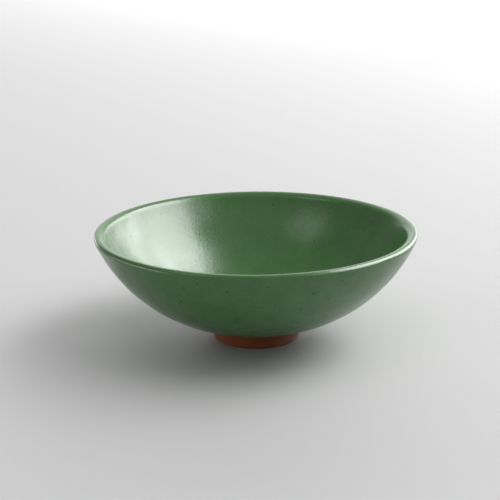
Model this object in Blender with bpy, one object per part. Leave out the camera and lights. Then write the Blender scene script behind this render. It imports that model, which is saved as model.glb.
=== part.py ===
"""Stoneware salad bowl on a bare clay foot ring, with a satin green glaze.

The bowl is drawn the way a potter's template is: one section of compass arcs that run
into each other, turned about the Z axis. Three pieces share that section:

    clay_bowl    the thrown bowl, with a level seat turned in its underside
    foot_ring    the ring thrown on to that seat and left unglazed
    glaze_coat   the glassy skin over the bowl, from the floor over the lip to the foot

Lengths are in metres, +Z is up, and the origin is the centre of the foot on the table.
"""

import math
from typing import NamedTuple

import bmesh
import bpy

# Outline of the finished bowl, measured over the glaze

RIM_RADIUS = 0.115
BOWL_HEIGHT = 0.080

# The lip is rounded tightly on the outside, and rolls softly into the hollow

LIP_EDGE_RADIUS = 0.0025
LIP_ROLL_RADIUS = 0.0060

# The belly arc levels off at this radius, at this height above the table

BELLY_FLAT_RADIUS = 0.0112
BELLY_LOW_HEIGHT = 0.0087

# Clay left under the middle of the floor, and the radius where the floor turns up

FLOOR_THICKNESS = 0.0058
FLOOR_FLAT_RADIUS = 0.013

# Foot ring: its standing face, how its sides spread upwards, and its rounded edges

FOOT_RADIUS = 0.0308
FOOT_WIDTH = 0.0060
FOOT_OUTER_LEAN = 0.0004
FOOT_BORE_LEAN = 0.0010
FOOT_OUTER_EDGE = 0.0012
FOOT_INNER_EDGE = 0.0016
FOOT_FILLET = 0.0012

# Glaze coat, and how far outside the foot ring it stops

GLAZE_THICKNESS = 0.0005
GLAZE_LINE_MARGIN = 0.0008

# Clearance between faces that touch

FIT_GAP = 0.0003

# Facets: round the axis, and the widest step along the walls, the roll and the small rounds

SIDES = 64
WALL_FACET = math.radians(6)
ROLL_FACET = math.radians(16)
ROUND_FACET = math.radians(30)

WELD_DISTANCE = 0.00001
SHARP_ANGLE = math.radians(35)

# Colours as linear red, green and blue

GLAZE_GREEN = (0.078, 0.205, 0.069)
BARE_CLAY = (0.330, 0.110, 0.032)

# Directions in the section. An arc that turns clockwise past DOWN ends at minus INWARD.

OUTWARD = 0.0
UP = math.pi / 2
INWARD = math.pi
DOWN = -math.pi / 2


class Arc(NamedTuple):
    """A circle of the section: x is the distance from the axis, z the height."""

    x: float
    z: float
    radius: float

    def point(self, angle, offset=0.0):
        """The point at this angle, on the circle grown by offset."""
        reach = self.radius + offset
        return self.x + reach * math.cos(angle), self.z + reach * math.sin(angle)

    def points(self, start, end, facet, offset=0.0):
        """Evenly spaced points from start to end, with no step wider than facet."""
        steps = math.ceil(abs(end - start) / facet - 0.001)
        turn_per_step = (end - start) / steps
        return [self.point(start + turn_per_step * i, offset) for i in range(steps + 1)]

    def angle_below(self, x, offset=0.0):
        """The angle at which the underside of the grown circle crosses x."""
        return -math.acos((x - self.x) / (self.radius + offset))

    def direction_to(self, other):
        """The angle of the line from this circle's centre to the other's."""
        return math.atan2(other.z - self.z, other.x - self.x)


# The compass arcs of the glazed surface

CLAY_DEPTH = GLAZE_THICKNESS + FIT_GAP


def lip_round(radius):
    """A round of the lip. The edge and the roll both hang from the top of the lip."""
    return Arc(RIM_RADIUS - LIP_EDGE_RADIUS, BOWL_HEIGHT - radius, radius)


def belly_arc(edge):
    """The outer wall: level at BELLY_LOW_HEIGHT, with the edge's circle just inside it."""
    across = edge.x - BELLY_FLAT_RADIUS
    up = edge.z - BELLY_LOW_HEIGHT
    radius = (across**2 + up**2 - edge.radius**2) / (2 * (up - edge.radius))
    return Arc(BELLY_FLAT_RADIUS, BELLY_LOW_HEIGHT + radius, radius)


def hollow_arc(roll):
    """The inner wall: level at the floor, with the roll's circle just outside it."""
    floor = BELLY_LOW_HEIGHT + FLOOR_THICKNESS + 2 * CLAY_DEPTH
    across = roll.x - FLOOR_FLAT_RADIUS
    up = roll.z - floor
    radius = (across**2 + up**2 - roll.radius**2) / (2 * (up + roll.radius))
    return Arc(FLOOR_FLAT_RADIUS, floor + radius, radius)


LIP_EDGE = lip_round(LIP_EDGE_RADIUS)
LIP_ROLL = lip_round(LIP_ROLL_RADIUS)
BELLY = belly_arc(LIP_EDGE)
HOLLOW = hollow_arc(LIP_ROLL)


def wall_line(depth, end_x):
    """The wall's surface at a depth under the glazed surface.

    It runs from the axis over the floor, up the hollow, over the roll to the top of the lip,
    round the edge by way of its widest point, and down the belly to the distance end_x from
    the axis.
    """
    hollow_to_roll = HOLLOW.direction_to(LIP_ROLL)
    belly_to_edge = BELLY.direction_to(LIP_EDGE)
    stretches = [
        HOLLOW.points(DOWN, hollow_to_roll, WALL_FACET, depth),
        LIP_ROLL.points(hollow_to_roll + math.pi, UP, ROLL_FACET, -depth),
        LIP_EDGE.points(UP, OUTWARD, ROUND_FACET, -depth),
        LIP_EDGE.points(OUTWARD, belly_to_edge, ROUND_FACET, -depth),
        BELLY.points(belly_to_edge, BELLY.angle_below(end_x, -depth), WALL_FACET, -depth),
    ]
    floor_height = stretches[0][0][1]
    return [(0.0, floor_height)] + joined(stretches)


def joined(stretches):
    """One line through stretches that each start where the one before ended."""
    line = stretches[0]
    for stretch in stretches[1:]:
        line = line + stretch[1:]
    return line


# The seat, which the clay bowl and the foot ring share

FOOT_TOP_RADIUS = FOOT_RADIUS + FOOT_OUTER_LEAN
FOOT_TOP_BORE = FOOT_RADIUS - FOOT_WIDTH - FOOT_BORE_LEAN
SEAT_RADIUS = FOOT_TOP_RADIUS + FOOT_FILLET + FIT_GAP
SEAT_HEIGHT = BELLY.point(BELLY.angle_below(SEAT_RADIUS, -CLAY_DEPTH), -CLAY_DEPTH)[1]
BOSS_RADIUS = FOOT_TOP_BORE - FIT_GAP


def clay_bowl_section():
    """The bowl, its level seat for the ring, and the boss that centres the ring."""
    boss_angle = BELLY.angle_below(BOSS_RADIUS, -CLAY_DEPTH)
    return (
        wall_line(CLAY_DEPTH, SEAT_RADIUS)
        + [(BOSS_RADIUS, SEAT_HEIGHT)]
        + BELLY.points(boss_angle, DOWN, WALL_FACET, -CLAY_DEPTH)
        + [(0.0, BELLY_LOW_HEIGHT + CLAY_DEPTH)]
    )


def glaze_coat_section():
    """The skin on the wall, with a rolled edge where the glaze stops above the foot."""
    end_x = SEAT_RADIUS + GLAZE_LINE_MARGIN
    end = BELLY.angle_below(end_x)
    edge = Arc(*BELLY.point(end, -GLAZE_THICKNESS / 2), GLAZE_THICKNESS / 2)
    roll = edge.points(end, end - math.pi, ROUND_FACET)
    outer = wall_line(0.0, end_x)
    inner = wall_line(GLAZE_THICKNESS, roll[-1][0])
    return outer + roll[1:-1] + inner[::-1]


def foot_ring_section():
    """The ring, listed down its outer side, over its standing face and up its bore."""
    top = SEAT_HEIGHT - FIT_GAP
    bore_radius = FOOT_RADIUS - FOOT_WIDTH
    fillet = Arc(FOOT_TOP_RADIUS + FOOT_FILLET, top - FOOT_FILLET, FOOT_FILLET)
    outer_edge = Arc(FOOT_RADIUS - FOOT_OUTER_EDGE, FOOT_OUTER_EDGE, FOOT_OUTER_EDGE)
    inner_edge = Arc(bore_radius + FOOT_INNER_EDGE, FOOT_INNER_EDGE, FOOT_INNER_EDGE)
    return (
        fillet.points(UP, INWARD, ROUND_FACET)
        + outer_edge.points(OUTWARD, DOWN, ROUND_FACET)
        + inner_edge.points(DOWN, -INWARD, ROUND_FACET)
        + [(FOOT_TOP_BORE, top)]
    )


# Building the scene


def clear_scene():
    for obj in list(bpy.data.objects):
        bpy.data.objects.remove(obj)


def finish(name, colour, roughness):
    """A piece's own material."""
    material = bpy.data.materials.new(name)
    material.use_nodes = True
    surface = material.node_tree.nodes["Principled BSDF"]
    surface.inputs["Base Color"].default_value = (*colour, 1.0)
    surface.inputs["Roughness"].default_value = roughness
    surface.inputs["Metallic"].default_value = 0.0
    return material


def turned_mesh(name, section):
    """A section turned about Z. A section that starts on the axis also ends there, and
    any other is closed into a ring."""
    shape = bmesh.new()
    line = [shape.verts.new((x, 0.0, z)) for x, z in section]
    edges = [shape.edges.new(pair) for pair in zip(line, line[1:])]
    starts_on_axis = section[0][0] == 0.0
    if not starts_on_axis:
        edges.append(shape.edges.new((line[-1], line[0])))
    bmesh.ops.spin(
        shape,
        geom=line + edges,
        axis=(0.0, 0.0, 1.0),
        cent=(0.0, 0.0, 0.0),
        angle=math.tau,
        steps=SIDES,
        use_merge=True,
    )
    bmesh.ops.remove_doubles(shape, verts=shape.verts, dist=WELD_DISTANCE)
    bmesh.ops.recalc_face_normals(shape, faces=shape.faces)
    mesh = bpy.data.meshes.new(name)
    shape.to_mesh(mesh)
    shape.free()
    mesh.shade_smooth()
    mesh.set_sharp_from_angle(angle=SHARP_ANGLE)
    return mesh


def add_piece(name, section, material, assembly):
    mesh = turned_mesh(name, section)
    mesh.materials.append(material)
    piece = bpy.data.objects.new(name, mesh)
    piece.parent = assembly
    bpy.context.scene.collection.objects.link(piece)


def build():
    clear_scene()
    assembly = bpy.data.objects.new("salad_bowl", None)
    bpy.context.scene.collection.objects.link(assembly)
    body = finish("bowl_stoneware", BARE_CLAY, 0.80)
    ring = finish("foot_stoneware", BARE_CLAY, 0.85)
    glaze = finish("satin_green_glaze", GLAZE_GREEN, 0.32)
    add_piece("clay_bowl", clay_bowl_section(), body, assembly)
    add_piece("foot_ring", foot_ring_section(), ring, assembly)
    add_piece("glaze_coat", glaze_coat_section(), glaze, assembly)


build()
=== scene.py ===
"""Green stoneware salad bowl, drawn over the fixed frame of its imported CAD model.

The bowl is wheel-thrown, so every piece is one section turned about the Z axis. The
sections are drawn from compass arcs, and one Geometry Nodes tree turns them all.

    Glaze_Coat    satin green glaze, from the floor over the lip down to the foot
    Thrown_Bowl   the red clay body, bare only inside and just around the foot
    Foot_Ring     the bare clay ring that the bowl stands on

Lengths are in metres, +Z is up, and the origin is the centre of the foot on the table.
"""

import math
from typing import NamedTuple

import bmesh
import bpy
from bpy.props import FloatProperty, FloatVectorProperty, IntProperty, PointerProperty
from mathutils import Matrix, Vector


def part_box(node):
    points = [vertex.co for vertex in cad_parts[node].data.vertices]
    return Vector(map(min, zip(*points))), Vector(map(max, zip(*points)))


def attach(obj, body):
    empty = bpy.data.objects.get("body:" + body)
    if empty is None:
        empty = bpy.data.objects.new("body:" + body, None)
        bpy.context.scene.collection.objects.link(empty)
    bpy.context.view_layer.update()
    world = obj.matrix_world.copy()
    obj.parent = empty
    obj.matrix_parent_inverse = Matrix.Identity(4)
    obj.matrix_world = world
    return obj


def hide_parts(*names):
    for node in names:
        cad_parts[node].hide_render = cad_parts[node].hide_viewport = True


bl_info = {
    "name": "Stoneware Salad Bowl",
    "version": (1, 0, 0),
    "blender": (4, 5, 0),
    "location": "3D Viewport > Sidebar > Salad Bowl",
    "description": "Builds a glazed stoneware salad bowl and a plain stage for it",
    "category": "Object",
}

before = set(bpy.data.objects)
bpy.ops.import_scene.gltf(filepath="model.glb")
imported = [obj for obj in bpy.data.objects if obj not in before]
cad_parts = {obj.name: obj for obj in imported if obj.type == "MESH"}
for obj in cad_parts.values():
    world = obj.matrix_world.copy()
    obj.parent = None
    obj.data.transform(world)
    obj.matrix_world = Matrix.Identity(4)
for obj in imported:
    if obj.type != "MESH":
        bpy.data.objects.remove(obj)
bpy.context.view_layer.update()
RIM_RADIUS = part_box("glaze_coat")[1].x
BOWL_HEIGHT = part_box("glaze_coat")[1].z

MM = 0.001

# Directions in the section. An arc that turns clockwise past DOWN ends at minus INWARD.
OUTWARD = 0.0
UP = math.pi / 2
INWARD = math.pi
DOWN = -math.pi / 2

# How far a facet of the section turns: on walls that show, on hidden ones, and on the small
# rounds of the foot and the glaze's edge. On the lip it turns further, by these factors.
FINE = math.radians(0.75)
COARSE = math.radians(3.0)
ROUND = math.radians(12.0)
LIP_ROLL_FACETS = 5
LIP_EDGE_FACETS = 10

# What the wheel leaves by default, in the properties and in the node tree alike
SIDES = 320
THROWING_PITCH = 22.0 * MM
THROWING_DEPTH = 0.08 * MM


def linear(hex_colour):
    """The linear red, green and blue of an sRGB hex colour."""
    channels = [int(hex_colour[i : i + 2], 16) / 255 for i in (0, 2, 4)]
    return tuple(c / 12.92 if c <= 0.04045 else ((c + 0.055) / 1.055) ** 2.4 for c in channels)


# What a user can change


class BowlSizes(bpy.types.PropertyGroup):
    """Sizes of the thrown bowl, measured over its glaze."""

    rim_radius: FloatProperty(
        name="Rim Radius",
        description="From the axis to the outside of the lip",
        default=RIM_RADIUS,
        unit="LENGTH",
    )
    height: FloatProperty(
        name="Height",
        description="From the table to the top of the lip",
        default=BOWL_HEIGHT,
        unit="LENGTH",
    )
    lip_edge: FloatProperty(
        name="Lip Edge",
        description="Radius of the tight round on the outside of the lip",
        default=2.5 * MM,
        unit="LENGTH",
    )
    lip_roll: FloatProperty(
        name="Lip Roll",
        description="Radius of the soft round from the lip into the hollow",
        default=6.0 * MM,
        unit="LENGTH",
    )
    belly_flat_radius: FloatProperty(
        name="Belly Flat Radius",
        description="From the axis to where the belly arc is level",
        default=11.2 * MM,
        unit="LENGTH",
    )
    belly_low_height: FloatProperty(
        name="Belly Low Height",
        description="From the table to the lowest point of the belly arc",
        default=8.7 * MM,
        unit="LENGTH",
    )
    floor_thickness: FloatProperty(
        name="Floor Thickness",
        description="Clay under the middle of the hollow",
        default=5.8 * MM,
        unit="LENGTH",
    )
    floor_flat_radius: FloatProperty(
        name="Floor Flat Radius",
        description="From the axis to where the hollow starts to rise",
        default=13.0 * MM,
        unit="LENGTH",
    )
    glaze_thickness: FloatProperty(
        name="Glaze Thickness",
        description="Fired thickness of the glaze",
        default=0.5 * MM,
        unit="LENGTH",
    )
    glaze_margin: FloatProperty(
        name="Glaze Margin",
        description="Bare clay between the foot's seat and the edge of the glaze",
        default=0.8 * MM,
        unit="LENGTH",
    )
    clearance: FloatProperty(
        name="Clearance",
        description="Gap between the glaze and the clay under it",
        default=0.3 * MM,
        unit="LENGTH",
    )


class FootSizes(bpy.types.PropertyGroup):
    """Sizes of the foot ring."""

    radius: FloatProperty(
        name="Foot Radius",
        description="From the axis to the outside of the ring, at the table",
        default=30.8 * MM,
        unit="LENGTH",
    )
    width: FloatProperty(
        name="Foot Width",
        description="Across the ring at the table",
        default=6.0 * MM,
        unit="LENGTH",
    )
    outer_lean: FloatProperty(
        name="Outer Lean",
        description="How much wider the ring is at its top",
        default=0.4 * MM,
        unit="LENGTH",
    )
    bore_lean: FloatProperty(
        name="Bore Lean",
        description="How much narrower the bore is at its top",
        default=1.0 * MM,
        unit="LENGTH",
    )
    outer_edge: FloatProperty(
        name="Outer Edge",
        description="Radius of the sponged edge outside the standing face",
        default=1.2 * MM,
        unit="LENGTH",
    )
    inner_edge: FloatProperty(
        name="Inner Edge",
        description="Radius of the sponged edge inside the standing face",
        default=1.6 * MM,
        unit="LENGTH",
    )
    fillet: FloatProperty(
        name="Fillet",
        description="Radius of the slip worked in where the ring meets the bowl",
        default=1.2 * MM,
        unit="LENGTH",
    )


class TurningMarks(bpy.types.PropertyGroup):
    """What the wheel leaves on the surfaces."""

    sides: IntProperty(
        name="Sides",
        description="Facets round the axis",
        default=SIDES,
        min=12,
    )
    throwing_pitch: FloatProperty(
        name="Throwing Pitch",
        description="From one soft finger ridge on the wall to the next",
        default=THROWING_PITCH,
        unit="LENGTH",
    )
    throwing_depth: FloatProperty(
        name="Throwing Depth",
        description="Depth of the finger ridges under the glaze",
        default=THROWING_DEPTH,
        unit="LENGTH",
    )
    trimming_pitch: FloatProperty(
        name="Trimming Pitch",
        description="From one groove of the trimming tool to the next",
        default=1.6 * MM,
        unit="LENGTH",
    )
    trimming_depth: FloatProperty(
        name="Trimming Depth",
        description="Depth of the trimming grooves in bare clay",
        default=0.05 * MM,
        unit="LENGTH",
    )


class BowlColours(bpy.types.PropertyGroup):
    """Colours of the glaze, the clay and the stage."""

    glaze: FloatVectorProperty(
        name="Glaze",
        description="Copper green of the glaze on most of the bowl",
        default=linear("44703C"),
        subtype="COLOR",
        min=0.0,
        max=1.0,
    )
    glaze_pool: FloatVectorProperty(
        name="Glaze Pool",
        description="Deeper green of the clouds in the glaze",
        default=linear("3A6134"),
        subtype="COLOR",
        min=0.0,
        max=1.0,
    )
    speck: FloatVectorProperty(
        name="Iron Speck",
        description="Iron that has come up through the glaze",
        default=linear("1D2A1A"),
        subtype="COLOR",
        min=0.0,
        max=1.0,
    )
    clay: FloatVectorProperty(
        name="Clay",
        description="Bare iron-red stoneware",
        default=linear("954F19"),
        subtype="COLOR",
        min=0.0,
        max=1.0,
    )
    clay_flash: FloatVectorProperty(
        name="Clay Flash",
        description="Darker clay, flashed in the kiln",
        default=linear("743A14"),
        subtype="COLOR",
        min=0.0,
        max=1.0,
    )
    grog: FloatVectorProperty(
        name="Grog",
        description="Dark grains in the clay",
        default=linear("4A2A18"),
        subtype="COLOR",
        min=0.0,
        max=1.0,
    )
    floor: FloatVectorProperty(
        name="Floor",
        description="The pale table top",
        default=linear("BFBFBF"),
        subtype="COLOR",
        min=0.0,
        max=1.0,
    )


# The section, drawn with a compass


class Arc(NamedTuple):
    """A circle of the section: x is the distance from the axis, z the height."""

    x: float
    z: float
    radius: float

    def point(self, angle, offset=0.0):
        """The point at this angle, on the circle grown by offset."""
        reach = self.radius + offset
        return self.x + reach * math.cos(angle), self.z + reach * math.sin(angle)

    def points(self, start, end, facet, offset=0.0):
        """Evenly spaced points from start to end, with no step wider than facet."""
        steps = math.ceil(abs(end - start) / facet - 0.001)
        turn_per_step = (end - start) / steps
        return [self.point(start + turn_per_step * i, offset) for i in range(steps + 1)]

    def angle_below(self, x, offset=0.0):
        """The angle at which the underside of the grown circle crosses x."""
        return -math.acos((x - self.x) / (self.radius + offset))

    def direction_to(self, other):
        """The angle of the line from this circle's centre to the other's."""
        return math.atan2(other.z - self.z, other.x - self.x)


class Template:
    """The potter's template: the arcs of the lip, belly and hollow, and the foot's seat."""

    def __init__(self, sizes, foot):
        self.clay_depth = sizes.glaze_thickness + sizes.clearance
        lip_x = sizes.rim_radius - sizes.lip_edge
        self.edge = Arc(lip_x, sizes.height - sizes.lip_edge, sizes.lip_edge)
        self.roll = Arc(lip_x, sizes.height - sizes.lip_roll, sizes.lip_roll)
        self.belly = self.belly_arc(sizes.belly_flat_radius, sizes.belly_low_height)
        floor = sizes.belly_low_height + sizes.floor_thickness + 2 * self.clay_depth
        self.hollow = self.hollow_arc(sizes.floor_flat_radius, floor)
        self.foot_top_radius = foot.radius + foot.outer_lean
        self.foot_top_bore = foot.radius - foot.width - foot.bore_lean
        self.seat_radius = self.foot_top_radius + foot.fillet + sizes.clearance
        seat_angle = self.belly.angle_below(self.seat_radius, -self.clay_depth)
        self.seat_height = self.belly.point(seat_angle, -self.clay_depth)[1]

    def belly_arc(self, flat_radius, low_height):
        """The outer wall, with the circle of the lip's edge just inside it."""
        across = self.edge.x - flat_radius
        up = self.edge.z - low_height
        radius = (across**2 + up**2 - self.edge.radius**2) / (2 * (up - self.edge.radius))
        return Arc(flat_radius, low_height + radius, radius)

    def hollow_arc(self, flat_radius, floor):
        """The inner wall, with the circle of the lip's roll just outside it."""
        across = self.roll.x - flat_radius
        up = self.roll.z - floor
        radius = (across**2 + up**2 - self.roll.radius**2) / (2 * (up + self.roll.radius))
        return Arc(flat_radius, floor + radius, radius)

    def wall_line(self, depth, end_x, facet):
        """The wall's surface at a depth under the glaze's: from the axis over the floor, up
        the hollow, round the lip and down the belly to the distance end_x."""
        up_to_lip = self.hollow.direction_to(self.roll)
        down_from_lip = self.belly.direction_to(self.edge)
        end = self.belly.angle_below(end_x, -depth)
        floor = self.hollow.point(DOWN, depth)
        return joined(
            straight((0.0, floor[1]), floor, facet * self.hollow.radius),
            self.hollow.points(DOWN, up_to_lip, facet, depth),
            self.roll.points(up_to_lip + math.pi, UP, LIP_ROLL_FACETS * facet, -depth),
            self.edge.points(UP, OUTWARD, LIP_EDGE_FACETS * facet, -depth),
            self.edge.points(OUTWARD, down_from_lip, LIP_EDGE_FACETS * facet, -depth),
            self.belly.points(down_from_lip, end, facet, -depth),
        )


def straight(start, end, spacing):
    """Points along a straight line, no further apart than spacing."""
    steps = max(1, math.ceil(math.dist(start, end) / spacing - 0.001))
    return [
        (
            start[0] + (end[0] - start[0]) * i / steps,
            start[1] + (end[1] - start[1]) * i / steps,
        )
        for i in range(steps + 1)
    ]


def joined(*stretches):
    """One line through stretches that each start where the one before ended."""
    line = list(stretches[0])
    for stretch in stretches[1:]:
        line += stretch[1:]
    return line


# Node trees

# Points closer than this are one, on the axis and where the turn closes
WELD_DISTANCE = 0.002 * MM

# The ridges wander by this angle at most, in patches of 2.5 ridges
RIDGE_WANDER = 5.0
PATCHES_PER_PITCH = 0.4


def add_node(tree, kind, inputs=None, **settings):
    """Adds a node. Each input is given a value, or the socket that it is linked from."""
    node = tree.nodes.new(kind)
    for name, value in settings.items():
        setattr(node, name, value)
    for key, value in (inputs or {}).items():
        socket = node.inputs[key]
        if isinstance(value, bpy.types.NodeSocket):
            tree.links.new(value, socket)
        else:
            socket.default_value = value
    return node


def turning_tree():
    """Turns a section line about Z, and draws the marks of the wheel into the surface.

    The section carries two attributes on its points: run, the distance along the line,
    and play, how far the marks may go into the surface there, from 0 to 1.
    """
    tree = bpy.data.node_groups.new("Wheel Turning", "GeometryNodeTree")
    tree.is_modifier = True
    sockets = (
        ("Section", "INPUT", "NodeSocketGeometry", None),
        ("Sides", "INPUT", "NodeSocketInt", SIDES),
        ("Ridge Pitch", "INPUT", "NodeSocketFloat", THROWING_PITCH),
        ("Ridge Depth", "INPUT", "NodeSocketFloat", THROWING_DEPTH),
        ("Seed", "INPUT", "NodeSocketInt", 7),
        ("Material", "INPUT", "NodeSocketMaterial", None),
        ("Piece", "OUTPUT", "NodeSocketGeometry", None),
    )
    for name, direction, kind, value in sockets:
        socket = tree.interface.new_socket(name, in_out=direction, socket_type=kind)
        if value is not None:
            socket.default_value = value
    given = tree.nodes.new("NodeGroupInput").outputs
    place = add_node(tree, "GeometryNodeInputPosition").outputs[0]
    shape = turned_section(tree, given, place)
    shape = with_ridges(tree, given, place, shape)
    shape = add_node(tree, "GeometryNodeSetShadeSmooth", {0: shape}).outputs[0]
    shape = add_node(tree, "GeometryNodeRealizeInstances", {"Geometry": shape}).outputs[0]
    shape = add_node(
        tree, "GeometryNodeSetMaterial", {"Geometry": shape, "Material": given["Material"]}
    ).outputs[0]
    result = tree.nodes.new("NodeGroupOutput")
    tree.links.new(shape, result.inputs["Piece"])
    return tree


def turned_section(tree, given, place):
    """The nodes that turn the section about Z, and carry its attributes along."""

    # A flat grid, with a row for each point of the section and a column for each side
    size = add_node(tree, "GeometryNodeAttributeDomainSize", {"Geometry": given["Section"]})
    rows = size.outputs["Point Count"]
    columns = add_node(tree, "ShaderNodeMath", {0: given["Sides"], 1: 1.0}, operation="ADD")
    grid = add_node(
        tree,
        "GeometryNodeMeshGrid",
        {"Size X": 1.0, "Size Y": 1.0, "Vertices X": columns.outputs[0], "Vertices Y": rows},
    )
    along = add_node(tree, "ShaderNodeSeparateXYZ", {0: place})
    last = add_node(tree, "ShaderNodeMath", {0: rows, 1: 1.0}, operation="SUBTRACT")
    row = add_node(
        tree,
        "ShaderNodeMath",
        {0: along.outputs["Y"], 1: last.outputs[0], 2: 0.5},
        operation="MULTIPLY_ADD",
    )
    middle = add_node(tree, "ShaderNodeMath", {0: last.outputs[0], 1: 0.5}, operation="MULTIPLY")
    row = add_node(tree, "ShaderNodeMath", {0: row.outputs[0], 1: middle.outputs[0]}, operation="ADD")
    row = add_node(tree, "ShaderNodeMath", {0: row.outputs[0]}, operation="FLOOR")
    turn = add_node(
        tree,
        "ShaderNodeMath",
        {0: along.outputs["X"], 1: math.tau, 2: math.pi},
        operation="MULTIPLY_ADD",
    )

    # Each row takes its point of the section with its attributes, which come first because
    # the row is read from the flat grid, and each column takes its turn about the axis
    shape = grid.outputs["Mesh"]
    for name in ("run", "play"):
        on_section = add_node(
            tree, "GeometryNodeInputNamedAttribute", {"Name": name}, data_type="FLOAT"
        )
        on_row = add_node(
            tree,
            "GeometryNodeSampleIndex",
            {
                "Geometry": given["Section"],
                "Value": on_section.outputs["Attribute"],
                "Index": row.outputs[0],
            },
            data_type="FLOAT",
        )
        shape = add_node(
            tree,
            "GeometryNodeStoreNamedAttribute",
            {"Geometry": shape, "Name": name, "Value": on_row.outputs["Value"]},
            data_type="FLOAT",
        ).outputs[0]
    point = add_node(
        tree,
        "GeometryNodeSampleIndex",
        {"Geometry": given["Section"], "Value": place, "Index": row.outputs[0]},
        data_type="FLOAT_VECTOR",
    )
    turned = add_node(
        tree,
        "ShaderNodeVectorRotate",
        {"Vector": point.outputs["Value"], "Angle": turn.outputs[0]},
        rotation_type="Z_AXIS",
    )
    shape = add_node(
        tree, "GeometryNodeSetPosition", {"Geometry": shape, "Position": turned.outputs[0]}
    ).outputs[0]
    shape = add_node(
        tree, "GeometryNodeMergeByDistance", {"Geometry": shape, "Distance": WELD_DISTANCE}
    ).outputs[0]
    return add_node(tree, "GeometryNodeFlipFaces", {0: shape}).outputs[0]


def with_ridges(tree, given, place, shape):
    """The nodes that sink the ridges, which wind up the wall in a spiral, unevenly."""
    run = add_node(tree, "GeometryNodeInputNamedAttribute", {"Name": "run"}, data_type="FLOAT")
    play = add_node(tree, "GeometryNodeInputNamedAttribute", {"Name": "play"}, data_type="FLOAT")
    where = add_node(tree, "ShaderNodeSeparateXYZ", {0: place})
    around = add_node(
        tree, "ShaderNodeMath", {0: where.outputs["Y"], 1: where.outputs["X"]}, operation="ARCTAN2"
    )
    count = add_node(
        tree,
        "ShaderNodeMath",
        {0: run.outputs["Attribute"], 1: given["Ridge Pitch"]},
        operation="DIVIDE",
    )
    noise_scale = add_node(
        tree, "ShaderNodeMath", {0: PATCHES_PER_PITCH, 1: given["Ridge Pitch"]}, operation="DIVIDE"
    )
    uneven = add_node(
        tree,
        "ShaderNodeTexNoise",
        {
            "Vector": place,
            "W": given["Seed"],
            "Scale": noise_scale.outputs[0],
            "Detail": 2.0,
        },
        noise_dimensions="4D",
    )
    wander = add_node(
        tree,
        "ShaderNodeMath",
        {0: uneven.outputs[0], 1: RIDGE_WANDER, 2: around.outputs[0]},
        operation="MULTIPLY_ADD",
    )
    phase = add_node(
        tree,
        "ShaderNodeMath",
        {0: count.outputs[0], 1: math.tau, 2: wander.outputs[0]},
        operation="MULTIPLY_ADD",
    )
    wave = add_node(tree, "ShaderNodeMath", {0: phase.outputs[0]}, operation="SINE")

    # The wave runs from 0 down to -1, so the ridges never stand out of the wall
    depth = add_node(
        tree, "ShaderNodeMath", {0: wave.outputs[0], 1: 0.5, 2: -0.5}, operation="MULTIPLY_ADD"
    )
    depth = add_node(
        tree, "ShaderNodeMath", {0: depth.outputs[0], 1: given["Ridge Depth"]}, operation="MULTIPLY"
    )
    depth = add_node(
        tree,
        "ShaderNodeMath",
        {0: depth.outputs[0], 1: play.outputs["Attribute"]},
        operation="MULTIPLY",
    )
    facing = add_node(tree, "GeometryNodeInputNormal")
    shift = add_node(
        tree,
        "ShaderNodeVectorMath",
        {0: facing.outputs["Normal"], "Scale": depth.outputs[0]},
        operation="SCALE",
    )
    return add_node(
        tree, "GeometryNodeSetPosition", {"Geometry": shape, "Offset": shift.outputs[0]}
    ).outputs[0]


def turned_piece(context, name, line, play, pitch, depth, material):
    """Turns a section line into a closed mesh object, and puts it on its CAD body.

    pitch and depth are those of the wheel's marks, and play says, for a point of the
    section, how much of that depth it takes.
    """
    mesh = bpy.data.meshes.new(name + "_Section")
    edges = list(zip(range(len(line) - 1), range(1, len(line))))
    mesh.from_pydata([(x, 0.0, z) for x, z in line], edges, [])
    run = [0.0]
    for here, there in zip(line, line[1:]):
        run.append(run[-1] + math.dist(here, there))
    mesh.attributes.new("run", "FLOAT", "POINT").data.foreach_set("value", run)
    shares = [play(x, z) for x, z in line]
    mesh.attributes.new("play", "FLOAT", "POINT").data.foreach_set("value", shares)
    section = bpy.data.objects.new(name + "_Section", mesh)
    context.scene.collection.objects.link(section)

    tree = bpy.data.node_groups.get("Wheel Turning") or turning_tree()
    turning = section.modifiers.new("Wheel Turning", "NODES")
    turning.node_group = tree
    values = {
        "Sides": context.scene.salad_bowl_marks.sides,
        "Ridge Pitch": pitch,
        "Ridge Depth": depth,
        "Material": material,
    }
    for socket in tree.interface.items_tree:
        if socket.name in values:
            turning[socket.identifier] = values[socket.name]
    depsgraph = context.evaluated_depsgraph_get()
    turned = bpy.data.meshes.new_from_object(section.evaluated_get(depsgraph))
    turned.name = name
    bpy.data.objects.remove(section)
    if enclosed_volume(turned) <= 0.0:
        raise RuntimeError(name + " is open or inside out")
    piece = bpy.data.objects.new(name, turned)
    context.scene.collection.objects.link(piece)
    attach(piece, "root")
    return piece


def enclosed_volume(mesh):
    """The volume inside a mesh: zero if it has an open edge, below zero if inside out."""
    shape = bmesh.new()
    shape.from_mesh(mesh)
    closed = all(edge.is_manifold for edge in shape.edges)
    volume = shape.calc_volume(signed=True) if closed else 0.0
    shape.free()
    return volume


def ramp(distance, length):
    """Rises smoothly from 0 to 1 as distance goes from 0 to length."""
    t = min(1.0, max(0.0, distance / length))
    return t * t * (3.0 - 2.0 * t)


# Materials: the sizes of their patterns, and how much a fine one adds to a coarse one

GLAZE_CLOUD = 14 * MM
GLAZE_MOTTLE = 2 * MM
GLAZE_MOTTLE_SHARE = 0.5
GLAZE_PEEL = 2.2 * MM
GLAZE_GRAIN = 0.8 * MM
GLAZE_GRAIN_SHARE = 0.7
GLAZE_RELIEF = 0.08 * MM

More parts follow.
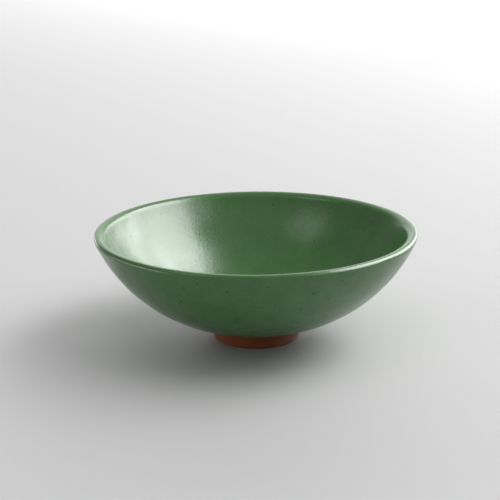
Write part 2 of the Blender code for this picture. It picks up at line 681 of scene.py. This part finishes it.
CLAY_FLASHING = 25 * MM
CLAY_GROG_SPACING = 1.6 * MM
CLAY_GRAIN = 0.35 * MM
CLAY_TOOL_RING = 0.7 * MM
CLAY_TOOL_RING_SHARE = 0.25
CLAY_RELIEF = 0.08 * MM


class Speck(NamedTuple):
    """Iron specks of one kind: how far apart, how big and how dark they are."""

    spacing: float
    radius: float
    strength: float


SPECKS = (Speck(8.0 * MM, 0.7 * MM, 0.9), Speck(5.0 * MM, 0.45 * MM, 0.5))


def new_material(name):
    """A material with an empty node tree."""
    material = bpy.data.materials.new(name)
    material.use_nodes = True
    material.node_tree.nodes.clear()
    return material, material.node_tree


def shown(tree, shader):
    """Makes a shader the material's surface."""
    output = tree.nodes.new("ShaderNodeOutputMaterial")
    tree.links.new(shader.outputs[0], output.inputs["Surface"])


def satin_green_glaze(colours):
    """Satin green stoneware glaze, dipped and fired on iron-bearing clay.

    To the eye: a soft gloss broken by a fine orange peel, slow clouds of deeper green where
    the coat lies thicker, and a few dark iron specks that have bled up from the clay.
    """
    material, tree = new_material("Satin_Green_Glaze")
    place = add_node(tree, "ShaderNodeTexCoord").outputs["Object"]

    # Slow clouds, with a mottle in them
    clouds = add_node(
        tree, "ShaderNodeTexNoise", {"Vector": place, "Scale": 1 / GLAZE_CLOUD, "Detail": 3.0}
    )
    mottle = add_node(
        tree, "ShaderNodeTexNoise", {"Vector": place, "Scale": 1 / GLAZE_MOTTLE, "Detail": 2.0}
    )
    blend = add_node(
        tree,
        "ShaderNodeMath",
        {0: mottle.outputs[0], 1: GLAZE_MOTTLE_SHARE, 2: clouds.outputs[0]},
        operation="MULTIPLY_ADD",
    )
    depth = add_node(
        tree, "ShaderNodeMapRange", {"Value": blend.outputs[0], "From Min": 0.5, "From Max": 1.15}
    )
    green = add_node(
        tree,
        "ShaderNodeMix",
        {"Factor": depth.outputs[0], 6: (*colours.glaze, 1.0), 7: (*colours.glaze_pool, 1.0)},
        data_type="RGBA",
    )

    # Each speck is a ball that the surface cuts, so they show in all sizes up to their own
    colour = green.outputs[2]
    for speck in SPECKS:
        cells = add_node(
            tree, "ShaderNodeTexVoronoi", {"Vector": place, "Scale": 1 / speck.spacing}, feature="F1"
        )
        reach = speck.radius / speck.spacing
        spot = add_node(
            tree,
            "ShaderNodeMapRange",
            {
                "Value": cells.outputs["Distance"],
                "From Min": 1.1 * reach,
                "From Max": 0.75 * reach,
                "To Max": speck.strength,
            },
            interpolation_type="SMOOTHSTEP",
        )
        colour = add_node(
            tree,
            "ShaderNodeMix",
            {"Factor": spot.outputs[0], 6: colour, 7: (*colours.speck, 1.0)},
            data_type="RGBA",
        ).outputs[2]

    # Orange peel, and a finer grain of crystals
    peel = add_node(
        tree, "ShaderNodeTexNoise", {"Vector": place, "Scale": 1 / GLAZE_PEEL, "Detail": 1.0}
    )
    grain = add_node(
        tree, "ShaderNodeTexNoise", {"Vector": place, "Scale": 1 / GLAZE_GRAIN, "Detail": 1.0}
    )
    height = add_node(
        tree,
        "ShaderNodeMath",
        {0: grain.outputs[0], 1: GLAZE_GRAIN_SHARE, 2: peel.outputs[0]},
        operation="MULTIPLY_ADD",
    )
    bump = add_node(
        tree, "ShaderNodeBump", {"Height": height.outputs[0], "Distance": GLAZE_RELIEF, "Strength": 1.0}
    )

    # The gloss is softer in the clouds
    gloss = add_node(
        tree,
        "ShaderNodeMapRange",
        {"Value": blend.outputs[0], "From Min": 0.4, "From Max": 0.95, "To Min": 0.17, "To Max": 0.24},
    )
    surface = add_node(
        tree,
        "ShaderNodeBsdfPrincipled",
        {
            "Base Color": colour,
            "Roughness": gloss.outputs[0],
            "IOR": 1.55,
            "Metallic": 0.0,
            "Normal": bump.outputs[0],
        },
    )
    shown(tree, surface)
    return material


def iron_red_stoneware(colours):
    """Iron-red stoneware with fine grog, turned leather-hard and left bare.

    To the eye: a dry, warm brown-red without gloss, flashed darker in places, with dark
    grains of grog and the fine rings of the trimming tool.
    """
    material, tree = new_material("Iron_Red_Stoneware")
    place = add_node(tree, "ShaderNodeTexCoord").outputs["Object"]

    # Kiln flashing
    flash = add_node(
        tree, "ShaderNodeTexNoise", {"Vector": place, "Scale": 1 / CLAY_FLASHING, "Detail": 3.0}
    )
    body = add_node(
        tree,
        "ShaderNodeMix",
        {"Factor": flash.outputs[0], 6: (*colours.clay, 1.0), 7: (*colours.clay_flash, 1.0)},
        data_type="RGBA",
    )

    # Grains of grog 0.4 to 0.8 mm across, a little coarser than real so that they show. Their
    # radius is given in shares of their spacing.
    grains = add_node(
        tree, "ShaderNodeTexVoronoi", {"Vector": place, "Scale": 1 / CLAY_GROG_SPACING}, feature="F1"
    )
    spot = add_node(
        tree,
        "ShaderNodeMapRange",
        {"Value": grains.outputs["Distance"], "From Min": 0.26, "From Max": 0.12, "To Max": 0.6},
    )
    colour = add_node(
        tree,
        "ShaderNodeMix",
        {"Factor": spot.outputs[0], 6: body.outputs[2], 7: (*colours.grog, 1.0)},
        data_type="RGBA",
    )

    # Rings of the tool along the section, over the clay's own grain
    run = add_node(tree, "ShaderNodeAttribute", attribute_name="run")
    rings = add_node(
        tree,
        "ShaderNodeMath",
        {0: run.outputs["Fac"], 1: math.tau / CLAY_TOOL_RING},
        operation="MULTIPLY",
    )
    rings = add_node(tree, "ShaderNodeMath", {0: rings.outputs[0]}, operation="SINE")
    grain = add_node(
        tree, "ShaderNodeTexNoise", {"Vector": place, "Scale": 1 / CLAY_GRAIN, "Detail": 2.0}
    )
    height = add_node(
        tree,
        "ShaderNodeMath",
        {0: rings.outputs[0], 1: CLAY_TOOL_RING_SHARE, 2: grain.outputs[0]},
        operation="MULTIPLY_ADD",
    )
    bump = add_node(
        tree, "ShaderNodeBump", {"Height": height.outputs[0], "Distance": CLAY_RELIEF, "Strength": 1.0}
    )
    surface = add_node(
        tree,
        "ShaderNodeBsdfPrincipled",
        {
            "Base Color": colour.outputs[2],
            "Roughness": 0.88,
            "IOR": 1.5,
            "Metallic": 0.0,
            "Normal": bump.outputs[0],
        },
    )
    shown(tree, surface)
    return material


def pale_table(colours):
    """A matt pale table top for the stage, without a pattern of its own."""
    material, tree = new_material("Pale_Table")
    surface = add_node(
        tree,
        "ShaderNodeBsdfPrincipled",
        {"Base Color": (*colours.floor, 1.0), "Roughness": 0.9, "IOR": 1.45, "Metallic": 0.0},
    )
    shown(tree, surface)
    return material


# Operators, one for each piece and one for the stage

# Spacing of the points on straight stretches, for plain ones and for those with marks
PLAIN_STEP = 1 * MM
MARKED_STEP = 0.3 * MM

# How far the marks take to fade out: under the lip, round the axis of the hollow, above the
# glaze's edge, round the axis and inside the bore of the recess, and at the foot's edges
LIP_FADE = 15 * MM
HOLLOW_AXIS_FADE = 12 * MM
GLAZE_EDGE_FADE = 6 * MM
RECESS_AXIS_FADE = 4 * MM
RECESS_BORE_FADE = 3 * MM
FOOT_FADE = 1.5 * MM


class SALADBOWL_OT_glaze_coat(bpy.types.Operator):
    """Turns the glaze over the whole bowl, down to its rolled edge above the foot"""

    bl_idname = "salad_bowl.glaze_coat"
    bl_label = "Glaze Coat"

    def execute(self, context):
        sizes = context.scene.salad_bowl_sizes
        marks = context.scene.salad_bowl_marks
        template = Template(sizes, context.scene.salad_bowl_foot)
        half = sizes.glaze_thickness / 2
        end_x = template.seat_radius + sizes.glaze_margin
        end = template.belly.angle_below(end_x)
        lower_edge = Arc(*template.belly.point(end, -half), half)
        rolled_edge = lower_edge.points(end, end - math.pi, 2 * ROUND)
        outer = template.wall_line(0.0, end_x, FINE)
        inner = template.wall_line(sizes.glaze_thickness, rolled_edge[-1][0], COARSE)
        line = joined(outer, rolled_edge, inner[::-1])
        outer_points = set(outer)
        hollow = template.hollow

        def hollow_height(x):
            below_centre = math.sqrt(max(0.0, hollow.radius**2 - (x - hollow.x) ** 2))
            return hollow.z - below_centre

        # A point of the hollow that rounding puts below it only moves by about 0.01 mm
        def play(x, z):
            if (x, z) not in outer_points:
                return 0.0
            below_lip = ramp(template.roll.z - z, LIP_FADE)
            off_axis = ramp(x, HOLLOW_AXIS_FADE)
            on_belly = x > end_x and z < hollow_height(x)
            above_edge = ramp(x - end_x, GLAZE_EDGE_FADE) if on_belly else 1.0
            return below_lip * off_axis * above_edge

        glaze = satin_green_glaze(context.scene.salad_bowl_colours)
        piece = turned_piece(
            context, "Glaze_Coat", line, play, marks.throwing_pitch, marks.throwing_depth, glaze
        )
        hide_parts("glaze_coat")
        return {"FINISHED"}


class SALADBOWL_OT_thrown_bowl(bpy.types.Operator):
    """Turns the clay body under the glaze, with the trimmed recess inside the foot"""

    bl_idname = "salad_bowl.thrown_bowl"
    bl_label = "Thrown Bowl"

    def execute(self, context):
        sizes = context.scene.salad_bowl_sizes
        marks = context.scene.salad_bowl_marks
        template = Template(sizes, context.scene.salad_bowl_foot)
        depth = template.clay_depth
        boss = template.foot_top_bore
        seat = (template.seat_radius, template.seat_height)
        boss_angle = template.belly.angle_below(boss, -depth)
        recess = template.belly.points(boss_angle, DOWN, FINE / 2, -depth)
        line = joined(
            template.wall_line(depth, template.seat_radius, COARSE),
            straight(seat, (boss, template.seat_height), 2 * PLAIN_STEP),
            straight((boss, template.seat_height), recess[0], PLAIN_STEP),
            recess,
            straight(recess[-1], (0.0, recess[-1][1]), PLAIN_STEP / 2),
        )
        recess_points = set(recess)

        def play(x, z):
            if (x, z) not in recess_points:
                return 0.0
            return ramp(x, RECESS_AXIS_FADE) * ramp(boss - x, RECESS_BORE_FADE)

        clay = iron_red_stoneware(context.scene.salad_bowl_colours)
        piece = turned_piece(
            context, "Thrown_Bowl", line, play, marks.trimming_pitch, marks.trimming_depth, clay
        )
        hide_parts("clay_bowl")
        return {"FINISHED"}


class SALADBOWL_OT_foot_ring(bpy.types.Operator):
    """Turns the bare foot ring, worked into the bowl with a fillet of slip"""

    bl_idname = "salad_bowl.foot_ring"
    bl_label = "Foot Ring"

    def execute(self, context):
        foot = context.scene.salad_bowl_foot
        marks = context.scene.salad_bowl_marks
        template = Template(context.scene.salad_bowl_sizes, foot)
        top = template.seat_height
        bore = foot.radius - foot.width
        fillet = Arc(template.foot_top_radius + foot.fillet, top - foot.fillet, foot.fillet)
        outer_edge = Arc(foot.radius - foot.outer_edge, foot.outer_edge, foot.outer_edge)
        inner_edge = Arc(bore + foot.inner_edge, foot.inner_edge, foot.inner_edge)
        fillet_line = fillet.points(UP, INWARD, ROUND)
        outer_round = outer_edge.points(OUTWARD, DOWN, ROUND)
        inner_round = inner_edge.points(DOWN, -INWARD, ROUND)
        bore_top = (template.foot_top_bore, top)
        line = joined(
            fillet_line,
            straight(fillet_line[-1], outer_round[0], MARKED_STEP),
            outer_round,
            straight(outer_round[-1], inner_round[0], PLAIN_STEP),
            inner_round,
            straight(inner_round[-1], bore_top, MARKED_STEP),
            straight(bore_top, fillet_line[0], PLAIN_STEP),
        )

        def play(x, z):
            return ramp(z - foot.outer_edge, FOOT_FADE) * ramp(top - z, FOOT_FADE)

        clay = iron_red_stoneware(context.scene.salad_bowl_colours)
        piece = turned_piece(
            context, "Foot_Ring", line, play, marks.trimming_pitch, marks.trimming_depth, clay
        )
        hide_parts("foot_ring")
        return {"FINISHED"}


# The camera, fitted to the photograph's outline: place, turns and lens

CAMERA_PLACE = (0.0, -0.9644, 0.3429)
CAMERA_YAW = math.radians(-0.244)
CAMERA_PITCH = math.radians(16.112)
CAMERA_ROLL = math.radians(-0.56)
CAMERA_LENS = 100.8


class Softbox(NamedTuple):
    """A rectangular studio lamp, which faces the bowl from its azimuth and elevation.

    Angles are in degrees, and the azimuth is counted from +X, the photograph's right, towards
    +Y, away from the camera. Roll turns the lamp about its own axis, and across and up then
    shift it in its own plane. Its radiance is given twice, because only part of a lamp's glow
    is a face that the glaze mirrors: soft is what lights matt surfaces, and sheen is what
    gloss mirrors. A full dome of soft 1 lights a white surface to white.
    """

    name: str
    azimuth: float
    elevation: float
    distance: float
    width: float
    height: float
    soft: float
    sheen: float
    roll: float = 0.0
    across: float = 0.0
    up: float = 0.0


# The plane of the key light's face, as azimuth, elevation, distance and roll
KEY_FACE = (20, 36, 3.0, 29)


def key_panel(name, left, right, bottom, top, sheen):
    """One panel of the key light's face, between these distances from its middle."""
    azimuth, elevation, distance, roll = KEY_FACE
    width = right - left
    height = top - bottom
    across = (left + right) / 2
    up = (bottom + top) / 2
    return Softbox(name, azimuth, elevation, distance, width, height, 0.0, sheen, roll, across, up)


# The lamps' places and levels, chosen by how light and gloss lie on the photograph's bowl
SOFTBOXES = (
    # The key light from the right: a core in a wide spill, and a high part nearer the camera
    Softbox("Key_Core", 25, 43, 3.0, 1.0, 0.8, 4.9, 0.0, -32),
    Softbox("Key_Middle", 25, 43, 3.0, 2.4, 1.3, 3.1, 0.0, -32),
    Softbox("Key_Spill", 25, 40, 3.0, 4.4, 2.4, 0.7, 0.0, -32),
    Softbox("Key_High", -22, 52, 3.0, 1.6, 1.6, 2.6, 0.0),
    # Its face, which the left of the hollow mirrors as one big pale patch
    key_panel("Key_Panel_1", -2.60, -1.35, -0.60, 1.42, 7.5),
    key_panel("Key_Panel_2", -1.35, 0.51, -0.60, 1.50, 10.2),
    key_panel("Key_Panel_3", 0.51, 0.99, -0.60, 1.32, 10.8),
    key_panel("Key_Panel_4", 0.99, 1.50, -0.60, 0.95, 9.6),
    key_panel("Key_Panel_5", -0.70, 0.40, -1.50, -0.69, 10.4),
    key_panel("Key_Panel_6", 0.40, 1.50, -1.65, -0.69, 7.6),
    key_panel("Key_Panel_7", 0.20, 2.30, -2.60, -1.65, 4.8),
    # Low glows over the table's far right edge, mirrored where the hollow meets the lip
    Softbox("Table_Edge_1", 30, 3, 1.3, 0.50, 0.25, 0.0, 3.6),
    Softbox("Table_Edge_2", 48, 1, 1.3, 0.30, 0.16, 0.0, 2.5),
    Softbox("Table_Edge_3", 60, 1, 1.3, 0.26, 0.16, 0.0, 4.5),
    Softbox("Table_Edge_4", 72, 2, 1.3, 0.24, 0.20, 0.0, 1.6),
    # Faint glows beside and above the key light's face
    Softbox("Glow_Left", -32, 38, 3.0, 1.2, 0.9, 0.0, 1.9),
    Softbox("Glow_Top", 20, 66, 3.0, 1.4, 0.5, 0.0, 1.2),
    # Light from behind, which also draws the lip's edge
    Softbox("Side", 73, 18, 3.0, 1.3, 1.6, 4.7, 0.65),
    Softbox("Side_Low", 84, 6, 4.5, 2.4, 0.9, 7.2, 0.4),
    Softbox("Back", 102, 16, 4.5, 3.0, 2.1, 4.2, 0.8),
    Softbox("Back_Low", 126, 1, 1.3, 0.34, 0.18, 0.0, 3.6),
    Softbox("Back_High", 85, 45, 3.0, 2.6, 2.0, 0.0, 0.5),
    # Light from the left, along the outer wall
    Softbox("Left_Low", 172, 0, 2.0, 0.9, 0.22, 0.0, 6.0, up=0.06),
    Softbox("Left_Middle", 195, 0, 2.0, 0.9, 0.40, 2.5, 4.2, up=0.15),
    Softbox("Left_Fill", 190, 30, 3.0, 3.4, 2.0, 0.5, 0.0),
    # Light from above and in front, and the small glow in the right of the hollow
    Softbox("Front_Spot", -152, 51, 2.5, 1.0, 0.9, 0.0, 1.3),
    Softbox("Front", -90, 50, 3.0, 3.0, 1.5, 0.1, 0.15),
    Softbox("Top", -75, 78, 3.0, 2.4, 2.0, 1.1, 0.0),
)

# The point that the lamps face, and how much nearer to it a sheen hangs than its soft glow
AIM = Vector((0.0, 0.0, 0.05))
SHEEN_LEAD = 0.02

# The white world's even glow, and how far the table reaches from the bowl each way
WORLD_GLOW = 0.24
TABLE_REACH = 6.0


class SALADBOWL_OT_stage(bpy.types.Operator):
    """Sets up the pale table, the soft studio lamps and the camera"""

    bl_idname = "salad_bowl.stage"
    bl_label = "Stage"

    def execute(self, context):
        scene = context.scene
        scene.view_settings.view_transform = "Standard"
        self.add_table(context)
        self.add_camera(context)
        self.add_world(context)
        for softbox in SOFTBOXES:
            self.add_softbox(context, softbox)
        return {"FINISHED"}

    def add_table(self, context):
        mesh = bpy.data.meshes.new("Table")
        signs = ((-1, -1), (1, -1), (1, 1), (-1, 1))
        corners = [(x * TABLE_REACH, y * TABLE_REACH, 0.0) for x, y in signs]
        mesh.from_pydata(corners, [], [(0, 1, 2, 3)])
        mesh.materials.append(pale_table(context.scene.salad_bowl_colours))
        table = bpy.data.objects.new("Table", mesh)
        context.scene.collection.objects.link(table)

    def add_camera(self, context):
        camera = bpy.data.objects.new("Camera", bpy.data.cameras.new("Camera"))
        camera.data.lens = CAMERA_LENS
        ahead = Vector(
            (
                math.sin(CAMERA_YAW) * math.cos(CAMERA_PITCH),
                math.cos(CAMERA_YAW) * math.cos(CAMERA_PITCH),
                -math.sin(CAMERA_PITCH),
            )
        )
        right = Vector((math.cos(CAMERA_YAW), -math.sin(CAMERA_YAW), 0.0))
        up = right.cross(ahead)
        across = right * math.cos(CAMERA_ROLL) + up * math.sin(CAMERA_ROLL)
        upright = up * math.cos(CAMERA_ROLL) - right * math.sin(CAMERA_ROLL)
        turn = Matrix((across, upright, -ahead)).transposed()
        camera.matrix_world = Matrix.Translation(CAMERA_PLACE) @ turn.to_4x4()
        context.scene.collection.objects.link(camera)
        context.scene.camera = camera

    def add_world(self, context):
        world = bpy.data.worlds.new("Studio")
        world.use_nodes = True
        background = world.node_tree.nodes["Background"]
        background.inputs["Color"].default_value = (1.0, 1.0, 1.0, 1.0)
        background.inputs["Strength"].default_value = WORLD_GLOW
        context.scene.world = world

    def add_softbox(self, context, softbox):
        azimuth = math.radians(softbox.azimuth)
        elevation = math.radians(softbox.elevation)
        direction = Vector(
            (
                math.cos(azimuth) * math.cos(elevation),
                math.sin(azimuth) * math.cos(elevation),
                math.sin(elevation),
            )
        )
        turn = direction.to_track_quat("Z", "Y").to_matrix()
        turn = turn @ Matrix.Rotation(math.radians(softbox.roll), 3, "Z")
        place = AIM + direction * softbox.distance + turn @ Vector((softbox.across, softbox.up, 0.0))

        # The two parts of a lamp hang in different planes, because the light of two lamps in
        # one plane isn't added up in a reflection
        parts = (("Soft", softbox.soft, 0.0), ("Sheen", softbox.sheen, SHEEN_LEAD))
        for part, radiance, forward in parts:
            if radiance == 0.0:
                continue
            name = softbox.name + "_" + part
            lamp = bpy.data.lights.new(name, "AREA")
            lamp.shape = "RECTANGLE"
            lamp.size = softbox.width
            lamp.size_y = softbox.height
            lamp.energy = math.pi * softbox.width * softbox.height * radiance
            box = bpy.data.objects.new(name, lamp)
            box.matrix_world = Matrix.Translation(place - direction * forward) @ turn.to_4x4()
            box.visible_camera = False
            box.visible_diffuse = part == "Soft"
            box.visible_glossy = part == "Sheen"
            context.scene.collection.objects.link(box)


class SALADBOWL_PT_panel(bpy.types.Panel):
    """Lists the bowl's pieces and their settings"""

    bl_label = "Salad Bowl"
    bl_idname = "SALADBOWL_PT_panel"
    bl_space_type = "VIEW_3D"
    bl_region_type = "UI"
    bl_category = "Salad Bowl"

    def draw(self, context):
        for cls in OPERATORS:
            self.layout.operator(cls.bl_idname)
        for group in (
            context.scene.salad_bowl_sizes,
            context.scene.salad_bowl_foot,
            context.scene.salad_bowl_marks,
            context.scene.salad_bowl_colours,
        ):
            box = self.layout.box()
            for name in group.bl_rna.properties.keys():
                if name not in ("rna_type", "name"):
                    box.prop(group, name)


OPERATORS = (
    SALADBOWL_OT_thrown_bowl,
    SALADBOWL_OT_foot_ring,
    SALADBOWL_OT_glaze_coat,
    SALADBOWL_OT_stage,
)
CLASSES = (BowlSizes, FootSizes, TurningMarks, BowlColours, *OPERATORS, SALADBOWL_PT_panel)


def register():
    for cls in CLASSES:
        bpy.utils.register_class(cls)
    bpy.types.Scene.salad_bowl_sizes = PointerProperty(type=BowlSizes)
    bpy.types.Scene.salad_bowl_foot = PointerProperty(type=FootSizes)
    bpy.types.Scene.salad_bowl_marks = PointerProperty(type=TurningMarks)
    bpy.types.Scene.salad_bowl_colours = PointerProperty(type=BowlColours)


def unregister():
    del bpy.types.Scene.salad_bowl_sizes
    del bpy.types.Scene.salad_bowl_foot
    del bpy.types.Scene.salad_bowl_marks
    del bpy.types.Scene.salad_bowl_colours
    for cls in reversed(CLASSES):
        bpy.utils.unregister_class(cls)


def main():
    """Builds every piece and the stage."""
    register()
    bpy.ops.salad_bowl.thrown_bowl()
    bpy.ops.salad_bowl.foot_ring()
    bpy.ops.salad_bowl.glaze_coat()
    bpy.ops.salad_bowl.stage()


if __name__ == "__main__":
    main()
